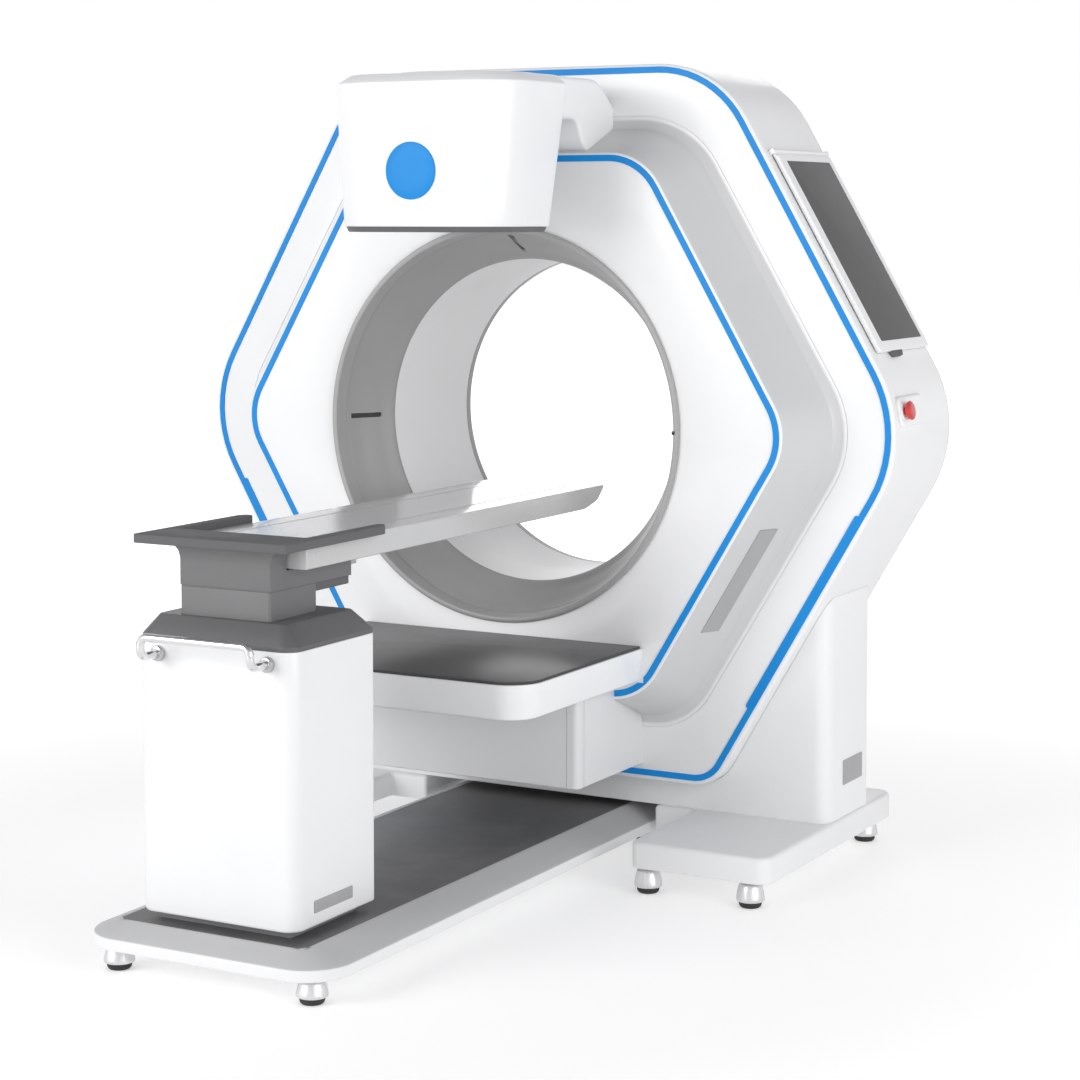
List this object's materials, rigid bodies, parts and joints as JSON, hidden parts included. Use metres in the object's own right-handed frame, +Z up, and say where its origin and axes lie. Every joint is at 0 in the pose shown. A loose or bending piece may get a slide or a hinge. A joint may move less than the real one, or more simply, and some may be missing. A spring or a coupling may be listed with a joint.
{
  "type": "ct scanner",
  "caption": "Hexagonal ring CT gantry with an upper x-ray head, a flat detector tray below it, and a raised sliding couch top on a lift column.",
  "frame": {"origin": "on the floor, midway between the front of the couch handle and the back of the gantry base plate, on the plane of symmetry of the bore", "axes": "+Z up, +Y along the bore from the couch towards the back of the gantry, +X to the right of someone standing at the couch and facing the bore"},
  "size_m": [1.8102, 1.742, 1.8],
  "materials": {
    "white_cover": "satin white moulded cover",
    "white_paint": "white powder coat",
    "light_blue": "blue diffuser strip",
    "grey_trim": "grey moulded ring",
    "window_grey": "dark grey window ring",
    "tunnel_grey": "light grey liner",
    "black_acrylic": "black laser window",
    "dark_grey_metal": "dark grey textured paint",
    "mid_grey_metal": "satin graphite paint",
    "table_carbon": "grey composite table top",
    "black_panel": "gloss dark detector top",
    "grille_grey": "grey grille",
    "steel": "machined steel",
    "chrome": "polished tube",
    "rubber_black": "black rubber",
    "frame_paint": "grey primer",
    "casting": "cast aluminium",
    "screen_glass": "dark display glass",
    "red_plastic": "red mushroom cap",
    "detector_black": "black detector housing"
  },
  "bodies": {
    "scanner": {"gantry_front_cover": "white_cover", "gantry_side_shroud": "white_cover", "gantry_rear_cover": "white_cover", "outer_light_strip": "light_blue", "inner_light_strip": "light_blue", "bore_flange_ring": "grey_trim", "bore_window_ring": "window_grey", "laser_windows": "black_acrylic", "tunnel_liner": "tunnel_grey", "bore_rear_ring": "grey_trim", "slope_vent": "grille_grey", "stand_skirt": "white_cover", "stand_base_plate": "white_paint", "vent_grilles": "grille_grey", "levelling_feet": "steel", "foot_pads": "rubber_black", "gantry_frame": "frame_paint", "main_bearing_outer": "steel", "drive_motor": "casting", "drive_belt": "rubber_black", "head_shell": "white_cover", "head_arm_cover": "white_cover", "head_bottom_plate": "dark_grey_metal", "head_spine": "frame_paint", "radiography_tube": "casting", "head_disc": "light_blue", "detector_support_box": "white_cover", "detector_tray": "white_cover", "detector_top_panel": "black_panel", "flat_panel_detector": "detector_black", "detector_beam": "frame_paint", "stop_button_housing": "white_cover", "couch_base_plate": "white_paint", "couch_base_inset": "mid_grey_metal", "column_frame": "frame_paint", "column_shell": "white_cover", "column_collar": "dark_grey_metal", "handle_bar": "chrome", "handle_bosses": "steel", "lift_screw": "steel", "lift_gearmotor": "casting", "lift_guide_block": "frame_paint"},
    "rotor": {"main_bearing_inner": "steel", "rotor_drum": "casting", "slip_ring": "casting", "ct_tube": "casting", "ct_detector_arc": "detector_black", "generators": "casting"},
    "pulley": {"drive_pulley": "steel"},
    "lift": {"lift_pillar": "dark_grey_metal", "carrier_bracket": "dark_grey_metal", "carrier_plate": "mid_grey_metal", "table_drive_box": "dark_grey_metal", "table_guide_blocks": "steel"},
    "table": {"table_rails": "steel", "table_slab": "table_carbon"},
    "screen": {"screen_body": "white_cover", "screen_glass": "screen_glass", "screen_pull_tab": "mid_grey_metal"},
    "stop": {"stop_button": "red_plastic"}
  },
  "joints": [
    {"name": "rotor_spin", "type": "hinge", "parent": "scanner", "child": "rotor", "pos_m": [0, 0.683, 0.992], "axis": [0, 1, 0], "continuous": true},
    {"name": "pulley_spin", "type": "hinge", "parent": "scanner", "child": "pulley", "pos_m": [-0.52, 0.633, 0.5], "axis": [0, 1, 0], "continuous": true},
    {"name": "couch_lift", "type": "slide", "parent": "scanner", "child": "lift", "axis": [0, 0, 1], "range_m": [-0.035, 0.2]},
    {"name": "table_slide", "type": "slide", "parent": "lift", "child": "table", "axis": [0, 1, 0], "range_m": [0, 0.15]},
    {"name": "screen_tilt", "type": "hinge", "parent": "scanner", "child": "screen", "pos_m": [0.59024, 0.61, 1.60301], "axis": [0, -1, 0], "range_deg": [0, 15]},
    {"name": "stop_press", "type": "slide", "parent": "scanner", "child": "stop", "axis": [-0.9829, 0, -0.1839], "range_m": [0, 0.005], "stiffness_N_per_m": 1500}
  ],
  "couplings": [
    {"joint": "pulley_spin", "follows": "rotor_spin", "ratio": 13.624}
  ]
}
